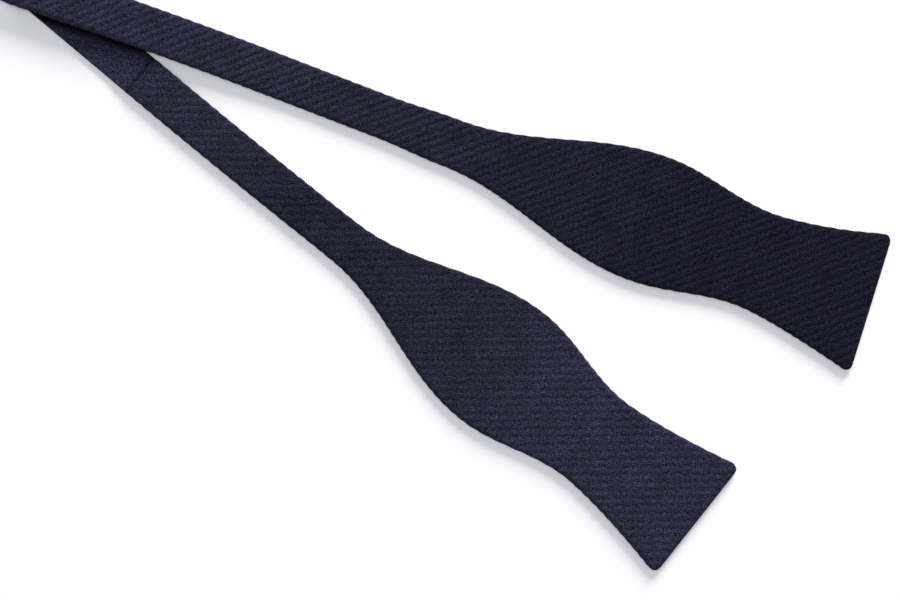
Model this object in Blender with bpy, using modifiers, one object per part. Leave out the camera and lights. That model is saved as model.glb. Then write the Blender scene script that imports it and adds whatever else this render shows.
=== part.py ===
"""Self-tie bow tie, untied and laid out on a table, with a hook, eye and slide adjuster.

Units are metres, +Z is up and the table is z = 0. The long end and the short end cross near the
neck; past the crossing both bands turn up on edge and the neckband closes the loop at the hook.
Every strip of cloth is swept along a route in plan. A route is a start, a heading and a list of
(length, turn) legs, and "out" along an arm means from its blade towards the neck.
"""

import math

import bmesh
import bpy
from mathutils import Matrix, Vector

MM = 0.001
UP = Vector((0, 0, 1))

# Layout: where the two centre lines cross, and each arm's heading as it passes the crossing.
CROSSING = Vector((-0.1249, 0.0873, 0))
LONG_HEADING = math.radians(161.4)
SHORT_HEADING = math.radians(140.0)
CROSSING_ANGLE = LONG_HEADING - SHORT_HEADING

# Cloth thicknesses. Front and back cloth meet at the middle of the edge, around an interlining.
TIE_THICKNESS = 3.0 * MM
CLOTH = 0.8 * MM
INTERLINING = 1.1 * MM
EDGE_ROLL = 2.0 * MM
LAYER_GAP = 0.1 * MM
STRAP_THICKNESS = 1.6 * MM
CUT_GAP = 0.3 * MM
CORNER_RADIUS = 4.0 * MM
SKEW_REACH = 30 * MM

# The loop past the crossing.
STRAIGHT_RUN = 102 * MM
ON_EDGE = math.radians(90)
LONG_TWIST = (3 * MM, 43 * MM)
SHORT_TWIST = (7 * MM, 40 * MM)
LIFT_OVER = 4.5 * MM
LIFT_FROM = -125 * MM
HARDWARE_LEVEL = 11.1 * MM
NECKBAND_SEAM = 47 * MM

# Hook, eye and slide adjuster for the three-quarter inch band, in stamped and moulded metal.
PLATE = 1.0 * MM
BAR = 1.2 * MM
FRAME_HEIGHT = 22 * MM
WINDOW_HEIGHT = 19.6 * MM
STRAP_BEND = 1.65 * MM
EYE_BEND = 2.5 * MM
HOOK_AT = 68 * MM
HOOK_WINDOW = 2.9 * MM
HOOK_PLATE = 9.5 * MM
HOOK_NECK = (4.5 * MM, 6.5 * MM)
THROAT_RADIUS = 1.5 * MM
TONGUE_LENGTH = 4.0 * MM
TONGUE_WIDTH = 12 * MM
EYE_BAR_AT = 8.9 * MM
EYE_LENGTH = 12.6 * MM
EYE_BAR = 1.4 * MM
SLIDE_AT = 57 * MM
SLIDE_LENGTH = 9 * MM
RAIL = 1.2 * MM
TAIL = 5.5 * MM
FOLD_BACK = 9 * MM
THREAD = 0.3 * MM

# Colours: linear red, green, blue, with roughness and metallic.
FACE_CLOTH = ("face_cloth", (0.018, 0.017, 0.032), 0.95, 0.0)
STRAP_CLOTH = ("strap_cloth", (0.020, 0.019, 0.034), 0.93, 0.0)
CANVAS = ("canvas", (0.55, 0.53, 0.48), 0.95, 0.0)
THREAD_NAVY = ("thread", (0.015, 0.014, 0.030), 0.7, 0.0)
NICKEL = ("nickel", (0.62, 0.61, 0.58), 0.28, 1.0)


def ease(low, high, share):
    """Cosine step from low to high as share goes from 0 to 1."""
    share = min(max(share, 0.0), 1.0)
    return low + (high - low) * (1 - math.cos(math.pi * share)) / 2


class Route:
    """A plan line of straight legs and arcs, each a (length, turn) pair."""

    def __init__(self, start, heading, legs):
        self.legs = []
        point = start.copy()
        for length, turn in legs:
            self.legs.append((point, heading, length, turn))
            point = self.advance(point, heading, turn / length, length)
            heading += turn
        self.length = sum(leg[0] for leg in legs)

    @staticmethod
    def advance(point, heading, curve, run):
        if abs(curve) < 1e-9:
            return point + run * Vector((math.cos(heading), math.sin(heading), 0))
        end = heading + curve * run
        across = Vector((math.sin(end) - math.sin(heading), math.cos(heading) - math.cos(end), 0))
        return point + across / curve

    def at(self, distance):
        """Point and heading at a distance from the start; past either end it runs on straight."""
        passed = 0.0
        for point, heading, length, turn in self.legs:
            if distance <= passed + length or point is self.legs[-1][0]:
                break
            passed += length
        run = min(max(distance - passed, 0.0), length)
        point = self.advance(point, heading, turn / length, run)
        heading += turn / length * run
        return self.advance(point, heading, 0.0, distance - passed - run), heading


class Arm:
    """One end of the tie: its blade outline and its lie, measured from the blade's end."""

    def __init__(self, heading, lie, loop, skew, end, waist, bulge, neck, band):
        self.lie = Route(CROSSING, heading + math.pi, lie)
        self.loop = Route(CROSSING, heading, loop)
        self.length = self.lie.length
        self.skew = skew
        self.end_width = end
        self.waist_at, self.waist_width = waist
        self.bulge_at, self.bulge_width = bulge
        self.neck_at, self.neck_width, self.band_at = neck
        self.band_width = band

    def width(self, s):
        if s < self.waist_at:
            flare = (1 - s / self.waist_at) ** 1.5
            width = self.waist_width + (self.end_width - self.waist_width) * flare
        elif s < self.bulge_at:
            share = (s - self.waist_at) / (self.bulge_at - self.waist_at)
            width = ease(self.waist_width, self.bulge_width, share)
        elif s < self.neck_at:
            share = (s - self.bulge_at) / (self.neck_at - self.bulge_at)
            width = ease(self.bulge_width, self.neck_width, share)
        else:
            share = (s - self.neck_at) / (self.band_at - self.neck_at)
            width = ease(self.neck_width, self.band_width, share)
        return width

    def half_width(self, s):
        """Half the width, with the blade's two corners rounded."""
        rounding = max(0.0, 1 - s / CORNER_RADIUS)
        corner = CORNER_RADIUS * (1 - math.sqrt(max(0.0, 1 - rounding**2)))
        return self.width(s) / 2 - corner

    def plan(self, s):
        """Plan point and outward heading at s from the blade's end."""
        past = s - self.length
        if past >= 0:
            return self.loop.at(past)
        point, heading = self.lie.at(-past)
        return point, heading - math.pi

    def side_turn(self, s):
        """The blade's end edge is a little off square; the skew fades out along the blade."""
        return ease(self.skew, 0.0, s / SKEW_REACH)


class Station:
    """One cross-section's place: its centre, and unit vectors across the width and out of the face.

    end_gap is its distance from the blade's end, where the cloth rolls down to the edge seam.
    """

    def __init__(self, centre, heading, tilt, half_width, end_gap=1.0, side_turn=0.0):
        right = Vector((math.sin(heading + side_turn), -math.cos(heading + side_turn), 0))
        self.centre = centre
        self.across = right * math.cos(tilt) + UP * math.sin(tilt)
        self.out = UP * math.cos(tilt) - right * math.sin(tilt)
        self.half_width = half_width
        self.end_gap = end_gap

    def place(self, across, out):
        return self.centre + self.across * across + self.out * out


def long_station(s):
    """The long end: flat, climbing over the short end, then turning on edge into the neckband."""
    point, heading = LONG_ARM.plan(s)
    past = s - LONG_ARM.length
    tilt = ease(0, ON_EDGE, (past - LONG_TWIST[0]) / (LONG_TWIST[1] - LONG_TWIST[0]))
    half = LONG_ARM.half_width(s)
    lift = ease(0, LIFT_OVER, (past - LIFT_FROM) / (LONG_TWIST[0] - LIFT_FROM))
    lift -= ease(0, LIFT_OVER, (past - LONG_TWIST[0]) / (LONG_TWIST[1] - LONG_TWIST[0]))
    rest = half * math.sin(tilt) + TIE_THICKNESS / 2 * math.cos(tilt)
    level = ease(0, HARDWARE_LEVEL - half, (past - STRAIGHT_RUN) / BEND_LENGTH)
    height = UP * (rest + lift + level)
    return Station(point + height, heading, tilt, half, s, LONG_ARM.side_turn(s))


def short_station(s):
    """The short end, flat all the way to the seam where the strap joins it."""
    point, heading = SHORT_ARM.plan(s)
    height = UP * TIE_THICKNESS / 2
    return Station(point + height, heading, 0, SHORT_ARM.half_width(s), s, SHORT_ARM.side_turn(s))


def strap_station(past):
    """The strap at a distance past the crossing: flat under the long end, then on edge."""
    point, heading = SHORT_ARM.plan(SHORT_ARM.length + past)
    share = (past - SHORT_TWIST[0]) / (SHORT_TWIST[1] - SHORT_TWIST[0])
    tilt = ease(0, ON_EDGE, share)
    half = SHORT_ARM.band_width / 2
    rest = half * math.sin(tilt) + STRAP_THICKNESS / 2 * math.cos(tilt)
    level = ease(0, HARDWARE_LEVEL - half, share)
    return Station(point + UP * (rest + level), heading, tilt, half)


def spread(start, stop, step):
    """Distances from start to stop, evenly spaced at about step."""
    count = max(1, math.ceil((stop - start) / step - 1e-6))
    return [start + (stop - start) * i / count for i in range(count + 1)]


def joined(*runs):
    """Runs of distances one after the other, each shared end once."""
    out = list(runs[0])
    for run in runs[1:]:
        out += run[1:]
    return out


def material(finish):
    name, colour, roughness, metallic = finish
    made = bpy.data.materials.get(name)
    if made is None:
        made = bpy.data.materials.new(name)
        made.use_nodes = True
        shader = made.node_tree.nodes["Principled BSDF"]
        shader.inputs["Base Color"].default_value = (*colour, 1)
        shader.inputs["Roughness"].default_value = roughness
        shader.inputs["Metallic"].default_value = metallic
        made.diffuse_color = (*colour, 1)
    return made


def new_object(name, mesh, finish, collection):
    obj = bpy.data.objects.new(name, mesh)
    mesh.materials.append(material(finish))
    collection.objects.link(obj)
    return obj


def sweep(name, stations, section, finish):
    """A closed solid: the section's outline at every station, joined ring to ring and capped."""
    bm = bmesh.new()
    rings = []
    for station in stations:
        rings.append([bm.verts.new(station.place(a, o)) for a, o in section(station)])
    size = len(rings[0])
    for ring, following in zip(rings, rings[1:]):
        for i in range(size):
            j = (i + 1) % size
            bm.faces.new((ring[i], ring[j], following[j], following[i]))
    bm.faces.new(list(reversed(rings[0])))
    bm.faces.new(rings[-1])
    bmesh.ops.recalc_face_normals(bm, faces=bm.faces)
    mesh = bpy.data.meshes.new(name)
    bm.to_mesh(mesh)
    bm.free()
    mesh.shade_smooth()
    mesh.set_sharp_from_angle(angle=math.radians(35))
    return new_object(name, mesh, finish, PARTS)


def cloth_section(face):
    """The section of a front (face 1) or back (face -1) cloth, rolled down to the edge seam."""

    def section(station):
        half = station.half_width
        top = TIE_THICKNESS / 2
        seam = LAYER_GAP / 2
        end = min(1.0, station.end_gap / EDGE_ROLL)
        crown = top * (0.3 + 0.7 * end**0.5)
        hollow = max(seam, (top - CLOTH) * (2 * end - 1))
        shoulder = seam + (crown - seam) * 0.7
        outer = [(half, seam), (half - EDGE_ROLL / 4, shoulder), (half - EDGE_ROLL, crown)]
        inner = [(half - EDGE_ROLL, hollow), (half - CLOTH, seam)]
        right = [(a, face * o) for a, o in outer]
        left = [(-a, face * o) for a, o in reversed(outer)]
        under_left = [(-a, face * o) for a, o in reversed(inner)]
        under_right = [(a, face * o) for a, o in inner]
        return right + left + under_left + under_right

    return section


def slab_section(thickness, inset=0.0):
    """A flat rectangle across the strip, inset from its edges."""

    def section(station):
        a = station.half_width - inset
        o = thickness / 2
        return [(a, -o), (a, o), (-a, o), (-a, -o)]

    return section


def strap_section(station):
    """The strap's section: a pressed tube with its two edges rounded."""
    a = station.half_width
    o = STRAP_THICKNESS / 2
    inner = a - o
    right = [(inner, -o), (a, -o / 3), (a, o / 3), (inner, o)]
    return right + [(-across, -out) for across, out in right]


def sandwich(name, stations, lining_stations):
    """Front cloth, back cloth and the interlining between them."""
    sweep(f"{name}_front", stations, cloth_section(1), FACE_CLOTH)
    sweep(f"{name}_back", stations, cloth_section(-1), FACE_CLOTH)
    inset = EDGE_ROLL + LAYER_GAP
    sweep(f"{name}_interlining", lining_stations, slab_section(INTERLINING, inset), CANVAS)


def blade_tip(name, arm, station):
    """The outer half of a blade, from its end to the fold line across its widest place."""
    fold = arm.bulge_at - CUT_GAP / 2
    rim = [0, CORNER_RADIUS / 16, CORNER_RADIUS / 5, CORNER_RADIUS / 2, CORNER_RADIUS]
    body = spread(CORNER_RADIUS, fold, 7 * MM)
    lining = spread(EDGE_ROLL + LAYER_GAP * 3, fold, 8 * MM)
    sandwich(name, [station(s) for s in joined(rim, body)], [station(s) for s in lining])


def long_end():
    fold = LONG_ARM.bulge_at + CUT_GAP / 2
    crossing = LONG_ARM.length
    seam = crossing + NECKBAND_SEAM - CUT_GAP / 2
    runs = joined(
        spread(fold, LONG_ARM.neck_at, 7 * MM),
        spread(LONG_ARM.neck_at, crossing + LIFT_FROM, 12 * MM),
        spread(crossing + LIFT_FROM, crossing + LONG_TWIST[0], 9 * MM),
        spread(crossing + LONG_TWIST[0], crossing + LONG_TWIST[1], 2.8 * MM),
        spread(crossing + LONG_TWIST[1], seam, 6 * MM),
    )
    stations = [long_station(s) for s in runs]
    sandwich("long_end", stations, stations)


def short_end():
    fold = SHORT_ARM.bulge_at + CUT_GAP / 2
    runs = joined(
        spread(fold, SHORT_ARM.neck_at, 7 * MM),
        spread(SHORT_ARM.neck_at, STRAP_SEAM - CUT_GAP / 2, 12 * MM),
    )
    stations = [short_station(s) for s in runs]
    sandwich("short_end", stations, stations)


def thread(name, start, end, out):
    """A row of sewing thread across the strip, as one slim rod."""
    data = bpy.data.curves.new(name, "CURVE")
    data.dimensions = "3D"
    data.bevel_depth = THREAD / 2
    data.bevel_resolution = 1
    data.use_fill_caps = True
    line = data.splines.new("POLY")
    line.points.add(1)
    line.points[0].co = (*(start + out * THREAD), 1)
    line.points[1].co = (*(end + out * THREAD), 1)
    data.materials.append(material(THREAD_NAVY))
    obj = bpy.data.objects.new(name, data)
    PARTS.objects.link(obj)
    return obj


def neckband():
    """On edge from its seam, round the end of the loop, and folded back round the eye's bar."""
    start = LONG_ARM.length + NECKBAND_SEAM + CUT_GAP / 2
    bend = LONG_ARM.length + STRAIGHT_RUN
    bend_end = bend + BEND_LENGTH
    fold = bend_end + RUN_TO_EYE
    fold_end = fold + math.pi * EYE_BEND
    body = joined(
        spread(start, bend, 14 * MM),
        spread(bend, bend_end, 4.5 * MM),
        spread(bend_end, fold, 8 * MM),
    )
    turned = joined(body, spread(fold, fold_end, 0.8 * MM), spread(fold_end, fold_end + FOLD_BACK, 9 * MM))
    sandwich(
        "neckband",
        [long_station(s) for s in turned],
        [long_station(s) for s in body],
    )
    seam = long_station(LONG_ARM.length + NECKBAND_SEAM)
    reach = seam.half_width - EDGE_ROLL
    top = TIE_THICKNESS / 2
    thread("neckband_seam_thread", seam.place(-reach, top), seam.place(reach, top), seam.out)
    tack = long_station(fold_end + FOLD_BACK * 0.6)
    bartack("neckband_bartack", tack, TIE_THICKNESS / 2, 13 * MM)


def bartack(name, station, surface, length):
    """A dense bar of stitches across a folded end, lying on the face."""
    bpy.ops.mesh.primitive_cube_add(size=1)
    obj = bpy.context.object
    obj.name = name
    for holder in obj.users_collection:
        holder.objects.unlink(obj)
    PARTS.objects.link(obj)
    obj.data.materials.append(material(THREAD_NAVY))
    depth = 2 * THREAD
    along = station.out.cross(station.across)
    size = Matrix.Diagonal((length, 2 * MM, depth, 1))
    axes = Matrix((station.across, along, station.out)).transposed().to_4x4()
    centre = station.place(0, surface + depth / 2 + LAYER_GAP)
    obj.data.transform(Matrix.Translation(centre) @ axes @ size)
    round_edges(obj, depth / 3)


def round_edges(obj, width):
    bevel = obj.modifiers.new("rounded", "BEVEL")
    bevel.width = width
    bevel.segments = 2
    bevel.limit_method = "ANGLE"
    bevel.angle_limit = math.radians(40)


def hardware_frame(distance, inward):
    """Axes at a distance out along the strap: x out, y towards the loop's inside, z up."""
    turn = Matrix.Rotation(SHORT_HEADING, 4, "Z")
    offset = turn @ Vector((distance, inward, HARDWARE_LEVEL))
    return Matrix.Translation(CROSSING + offset) @ turn


def box(name, frame, low, high, finish, collection):
    """A box between two corners in a frame of its own."""
    mesh = bpy.data.meshes.new(name)
    bm = bmesh.new()
    bmesh.ops.create_cube(bm, size=1)
    size = Vector(high) - Vector(low)
    middle = (Vector(high) + Vector(low)) / 2
    place = frame @ Matrix.Translation(middle) @ Matrix.Diagonal((*size, 1))
    bmesh.ops.transform(bm, matrix=place, verts=bm.verts)
    bm.to_mesh(mesh)
    bm.free()
    return new_object(name, mesh, finish, collection)


def boolean(obj, other, operation):
    other.hide_render = True
    other.display_type = "WIRE"
    modifier = obj.modifiers.new(f"{operation.lower()} {other.name}", "BOOLEAN")
    modifier.operation = operation
    modifier.solver = "EXACT"
    modifier.object = other


def hook():
    """A stamped plate: a window for the strap, then a tongue bent back over itself as a throat."""
    frame = hardware_frame(HOOK_AT, STRAP_BEND)
    start = frame @ Vector((-BAR / 2, 0, 0))
    legs = [(HOOK_PLATE + BAR / 2, 0), (math.pi * THROAT_RADIUS, math.pi), (TONGUE_LENGTH, 0)]
    route = Route(start, SHORT_HEADING, legs)
    flat = HOOK_PLATE + BAR / 2
    throat = flat + math.pi * THROAT_RADIUS
    runs = joined(
        [0, HOOK_NECK[0] + BAR / 2],
        [HOOK_NECK[0] + BAR / 2, HOOK_NECK[1] + BAR / 2],
        [HOOK_NECK[1] + BAR / 2, flat],
        spread(flat, throat, 0.6 * MM),
        [throat, throat + TONGUE_LENGTH],
    )
    stations = []
    for s in runs:
        point, heading = route.at(s)
        share = (s - BAR / 2 - HOOK_NECK[0]) / (HOOK_NECK[1] - HOOK_NECK[0])
        half = ease(FRAME_HEIGHT / 2, TONGUE_WIDTH / 2, share)
        stations.append(Station(point, heading, ON_EDGE, half))
    plate = sweep("hook", stations, slab_section(PLATE), NICKEL)
    low = (BAR / 2, -PLATE, -WINDOW_HEIGHT / 2)
    high = (BAR / 2 + HOOK_WINDOW, PLATE, WINDOW_HEIGHT / 2)
    boolean(plate, box("hook_window", frame, low, high, NICKEL, CUTTERS), "DIFFERENCE")
    round_edges(plate, 0.2 * MM)


def eye():
    """A rectangular ring: one bar in the hook's throat, the other in the neckband's fold."""
    frame = hardware_frame(HOOK_AT + EYE_BAR_AT, STRAP_BEND + THROAT_RADIUS)
    back = -EYE_BAR / 2
    low = (back, -PLATE / 2, -FRAME_HEIGHT / 2)
    high = (back + EYE_LENGTH, PLATE / 2, FRAME_HEIGHT / 2)
    ring = box("eye", frame, low, high, NICKEL, PARTS)
    window_low = (EYE_BAR / 2, -PLATE, -WINDOW_HEIGHT / 2)
    window_high = (back + EYE_LENGTH - BAR, PLATE, WINDOW_HEIGHT / 2)
    boolean(ring, box("eye_window", frame, window_low, window_high, NICKEL, CUTTERS), "DIFFERENCE")
    round_edges(ring, 0.25 * MM)


def slide_adjuster():
    """Two rails with three bars: the strap runs inside the outer two, its end is sewn to the third."""
    frame = hardware_frame(SLIDE_AT, 0)
    near = -STRAP_BEND - PLATE / 2 - CUT_GAP
    far = SLIDE_BAR_INWARD + PLATE / 2 + CUT_GAP
    half_length = SLIDE_LENGTH / 2
    half_height = FRAME_HEIGHT / 2
    slide = box(
        "slide_adjuster",
        frame,
        (-half_length, near, half_height - RAIL),
        (half_length, far, half_height),
        NICKEL,
        PARTS,
    )
    low_rail = box(
        "slide_low_rail",
        frame,
        (-half_length, near, -half_height),
        (half_length, far, RAIL - half_height),
        NICKEL,
        CUTTERS,
    )
    inside = half_height - RAIL / 2
    for label, along, inward in (
        ("near_bar", -half_length + BAR / 2 + CUT_GAP, -STRAP_BEND),
        ("far_bar", half_length - BAR / 2 - CUT_GAP, -STRAP_BEND),
        ("centre_bar", 0.0, SLIDE_BAR_INWARD),
    ):
        low = (along - BAR / 2, inward - PLATE / 2, -inside)
        high = (along + BAR / 2, inward + PLATE / 2, inside)
        boolean(slide, box(f"slide_{label}", frame, low, high, NICKEL, CUTTERS), "UNION")
    boolean(slide, low_rail, "UNION")


def strap():
    """The neck strap: a flat run, the turn round the hook's bar and the return sewn to the slide."""
    seam = STRAP_SEAM - SHORT_ARM.length
    run = joined(
        spread(seam + CUT_GAP / 2, SHORT_TWIST[0], 11 * MM),
        spread(SHORT_TWIST[0], SHORT_TWIST[1], 2.8 * MM),
        spread(SHORT_TWIST[1], HOOK_AT - CUT_GAP / 2, 12 * MM),
    )
    turn = spread(HOOK_AT + CUT_GAP / 2, HOOK_AT + STRAP_TURN - CUT_GAP / 2, 0.6 * MM)
    start = HOOK_AT + STRAP_TURN + CUT_GAP / 2
    shift_end = HOOK_AT + STRAP_TURN + 2 * SHIFT_ARC
    back = joined(
        spread(start, shift_end, 1.6 * MM),
        spread(shift_end, shift_end + STRAP_TURN, 0.6 * MM),
        spread(shift_end + STRAP_TURN, shift_end + STRAP_TURN + TAIL, 6 * MM),
    )
    for name, distances in (("strap_run", run), ("strap_turn", turn), ("strap_return", back)):
        sweep(name, [strap_station(d) for d in distances], strap_section, STRAP_CLOTH)
    edge = short_station(STRAP_SEAM)
    reach = edge.half_width - EDGE_ROLL
    top = TIE_THICKNESS / 2
    thread("strap_seam_thread", edge.place(-reach, top), edge.place(reach, top), edge.out)
    tack = strap_station(shift_end - 3.4 * MM)
    face = Station(tack.centre, SHORT_HEADING, ON_EDGE, tack.half_width)
    bartack("strap_bartack", face, STRAP_THICKNESS / 2 + CUT_GAP, 12 * MM)


for existing in list(bpy.data.objects):
    bpy.data.objects.remove(existing, do_unlink=True)
PARTS = bpy.data.collections.new("bow_tie")
CUTTERS = bpy.data.collections.new("cutters")
bpy.context.scene.collection.children.link(PARTS)
bpy.context.scene.collection.children.link(CUTTERS)

# The neckband's line ends beside the strap's, so that the fold meets the eye's outer bar.
EYE_INWARD = STRAP_BEND + THROAT_RADIUS
NECKBAND_INWARD = EYE_INWARD - EYE_BEND
TURN_IN = STRAIGHT_RUN * math.tan(CROSSING_ANGLE / 2)
BEND_RADIUS = TURN_IN - NECKBAND_INWARD / (1 + math.cos(CROSSING_ANGLE))
BEND_LENGTH = BEND_RADIUS * (math.pi + CROSSING_ANGLE)
EYE_OUTER_AT = HOOK_AT + EYE_BAR_AT - EYE_BAR / 2 + EYE_LENGTH - BAR / 2
BEND_SLIP = (TURN_IN - BEND_RADIUS) * math.sin(CROSSING_ANGLE)
RUN_TO_EYE = STRAIGHT_RUN - BEND_SLIP - EYE_OUTER_AT

# The strap's sewn end wraps the slide's centre bar, clear of the run that passes through.
SHIFT = STRAP_THICKNESS + LAYER_GAP
SLIDE_BAR_INWARD = SHIFT + STRAP_BEND
STRAP_TURN = math.pi * STRAP_BEND
RETURN_REACH = HOOK_AT - SLIDE_AT
SHIFT_TURN = 2 * math.atan(SHIFT / RETURN_REACH)
SHIFT_ARC = (RETURN_REACH**2 + SHIFT**2) / (4 * SHIFT) * SHIFT_TURN

LONG_ARM = Arm(
    LONG_HEADING,
    lie=[(25 * MM, 0), (80 * MM, math.radians(-2.4)), (271.8 * MM, 0)],
    loop=[
        (STRAIGHT_RUN, 0),
        (BEND_LENGTH, -math.pi - CROSSING_ANGLE),
        (RUN_TO_EYE, 0),
        (math.pi * EYE_BEND, -math.pi),
        (FOLD_BACK, 0),
    ],
    skew=math.radians(3.8),
    end=62.0 * MM,
    waist=(52.7 * MM, 41.9 * MM),
    bulge=(101.2 * MM, 54.7 * MM),
    neck=(191.3 * MM, 20.8 * MM, 222 * MM),
    band=18.5 * MM,
)
SHORT_ARM = Arm(
    SHORT_HEADING,
    lie=[(50 * MM, 0), (120 * MM, math.radians(1.7)), (188 * MM, 0)],
    loop=[
        (HOOK_AT, 0),
        (STRAP_TURN, math.pi),
        (SHIFT_ARC, -SHIFT_TURN),
        (SHIFT_ARC, SHIFT_TURN),
        (STRAP_TURN, math.pi),
        (TAIL, 0),
    ],
    skew=0.0,
    end=58.6 * MM,
    waist=(55.3 * MM, 40.9 * MM),
    bulge=(105.4 * MM, 57.3 * MM),
    neck=(192.1 * MM, 19.1 * MM, 200 * MM),
    band=18.9 * MM,
)
STRAP_SEAM = 303.4 * MM

blade_tip("long_tip", LONG_ARM, long_station)
long_end()
neckband()
blade_tip("short_tip", SHORT_ARM, short_station)
short_end()
strap()
hook()
eye()
slide_adjuster()
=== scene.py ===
"""Looks for the untied self-tie bow tie: ribbed navy wool over canvas, with nickel hardware.

Units are metres, +Z is up and the table is z = 0. The strips of cloth lie along the same routes as
the CAD solids that they stand for. "Out" along an arm means from its blade towards the neck.
"""

import math

import bmesh
import bpy
import numpy as np
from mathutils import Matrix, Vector, noise


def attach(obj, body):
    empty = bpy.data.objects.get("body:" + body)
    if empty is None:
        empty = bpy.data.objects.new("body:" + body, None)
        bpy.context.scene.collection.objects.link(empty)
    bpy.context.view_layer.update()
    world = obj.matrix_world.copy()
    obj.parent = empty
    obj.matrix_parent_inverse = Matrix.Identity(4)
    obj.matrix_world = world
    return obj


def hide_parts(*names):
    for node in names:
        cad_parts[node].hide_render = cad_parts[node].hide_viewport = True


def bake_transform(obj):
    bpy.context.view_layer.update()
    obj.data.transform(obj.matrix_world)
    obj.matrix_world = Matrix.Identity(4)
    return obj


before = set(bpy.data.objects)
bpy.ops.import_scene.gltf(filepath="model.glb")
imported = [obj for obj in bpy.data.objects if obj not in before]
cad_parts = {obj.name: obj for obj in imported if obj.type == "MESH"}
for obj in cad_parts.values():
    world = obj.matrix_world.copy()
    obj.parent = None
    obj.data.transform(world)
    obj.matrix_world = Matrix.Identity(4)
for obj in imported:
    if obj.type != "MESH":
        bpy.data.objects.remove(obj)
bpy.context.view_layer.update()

MM = 0.001
UP = Vector((0, 0, 1))

# The lie of the cloth, as in the CAD model.
CROSSING = Vector((-0.1249, 0.0873, 0))
LONG_HEADING = math.radians(161.4)
SHORT_HEADING = math.radians(140.0)
CROSSING_ANGLE = LONG_HEADING - SHORT_HEADING
TIE_THICKNESS = 3.0 * MM
CLOTH = 0.8 * MM
INTERLINING = 1.1 * MM
EDGE_ROLL = 2.0 * MM
LAYER_GAP = 0.1 * MM
LINING_INSET = EDGE_ROLL + LAYER_GAP
STRAP_THICKNESS = 1.6 * MM
CORNER_RADIUS = 4.0 * MM
SKEW_REACH = 30 * MM
STRAIGHT_RUN = 102 * MM
ON_EDGE = math.radians(90)
LONG_TWIST = (3 * MM, 43 * MM)
SHORT_TWIST = (7 * MM, 40 * MM)
LIFT_OVER = 4.5 * MM
LIFT_FROM = -125 * MM
HARDWARE_LEVEL = 11.1 * MM
NECKBAND_SEAM = 47 * MM
STRAP_SEAM = 303.4 * MM

# Hook, eye and slide adjuster, where the strap and the neckband turn round them.
BAR = 1.2 * MM
STRAP_BEND = 1.65 * MM
EYE_BEND = 2.5 * MM
HOOK_AT = 68 * MM
THROAT_RADIUS = 1.5 * MM
EYE_BAR_AT = 8.9 * MM
EYE_LENGTH = 12.6 * MM
EYE_BAR = 1.4 * MM
SLIDE_AT = 57 * MM
TAIL = 5.5 * MM
FOLD_BACK = 9 * MM
EYE_INWARD = STRAP_BEND + THROAT_RADIUS
NECKBAND_INWARD = EYE_INWARD - EYE_BEND
TURN_IN = STRAIGHT_RUN * math.tan(CROSSING_ANGLE / 2)
BEND_RADIUS = TURN_IN - NECKBAND_INWARD / (1 + math.cos(CROSSING_ANGLE))
BEND_LENGTH = BEND_RADIUS * (math.pi + CROSSING_ANGLE)
EYE_OUTER_AT = HOOK_AT + EYE_BAR_AT - EYE_BAR / 2 + EYE_LENGTH - BAR / 2
BEND_SLIP = (TURN_IN - BEND_RADIUS) * math.sin(CROSSING_ANGLE)
RUN_TO_EYE = STRAIGHT_RUN - BEND_SLIP - EYE_OUTER_AT
STRAP_TURN = math.pi * STRAP_BEND
RETURN_REACH = HOOK_AT - SLIDE_AT
SHIFT = STRAP_THICKNESS + LAYER_GAP
SHIFT_TURN = 2 * math.atan(SHIFT / RETURN_REACH)
SHIFT_ARC = (RETURN_REACH**2 + SHIFT**2) / (4 * SHIFT) * SHIFT_TURN

# The wool: its ribs, the little falls of its surface, and how finely it is meshed.
STRAP_RIB_DEPTH = 0.14 * MM
SCALLOP = 0.2 * MM
RIB_WANDER = 0.06
SURFACE_FALL = 0.16 * MM
MESH_STEP = 0.55 * MM
ROLL_STEPS = 6
SHELL_ACROSS = 72
BAND_ACROSS = 32
SHELL_MIN = 0.22 * MM
MOUTH_DEPTH = 4 * MM
UV_RIBS = 64
LINING_ACROSS = 14

# How light the wool looks: the distance between an arm's tones, the strap's tone, and how far a
# seam's painted shade reaches. Painted shade in the crease under the long end: where it starts to
# fade, how far it takes, and the light left at its deepest.
TONE_STEP = 70 * MM
STRAP_TONE = 1.2
PAINTED_SEAM_SHADE = 0.6 * MM
PAINTED_CREASE_FADE = (1 * MM, 3 * MM)
PAINTED_CREASE_LIGHT = 0.1

# Sewing thread.
STITCH_LENGTH = 2.2 * MM
STITCH_GAP = 0.5 * MM
STITCH_ARCH = 0.12 * MM
SEAM_THREAD = 0.32 * MM
BARTACK_THREAD = 0.36 * MM
BARTACK_PITCH = 0.42 * MM
BARTACK_HALF_WIDTH = 1.0 * MM


def ease(low, high, share):
    """Cosine step from low to high as share goes from 0 to 1."""
    share = min(max(share, 0.0), 1.0)
    return low + (high - low) * (1 - math.cos(math.pi * share)) / 2


class Route:
    """A plan line of straight legs and arcs, each a (length, turn) pair."""

    def __init__(self, start, heading, legs):
        self.legs = []
        point = start.copy()
        for length, turn in legs:
            self.legs.append((point, heading, length, turn))
            point = self.advance(point, heading, turn / length, length)
            heading += turn
        self.length = sum(leg[0] for leg in legs)

    @staticmethod
    def advance(point, heading, curve, run):
        if abs(curve) < 1e-9:
            return point + run * Vector((math.cos(heading), math.sin(heading), 0))
        end = heading + curve * run
        across = Vector((math.sin(end) - math.sin(heading), math.cos(heading) - math.cos(end), 0))
        return point + across / curve

    def at(self, distance):
        """Point and heading at a distance from the start; past either end it runs on straight."""
        passed = 0.0
        for point, heading, length, turn in self.legs:
            if distance <= passed + length or point is self.legs[-1][0]:
                break
            passed += length
        run = min(max(distance - passed, 0.0), length)
        point = self.advance(point, heading, turn / length, run)
        heading += turn / length * run
        return self.advance(point, heading, 0.0, distance - passed - run), heading


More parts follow.
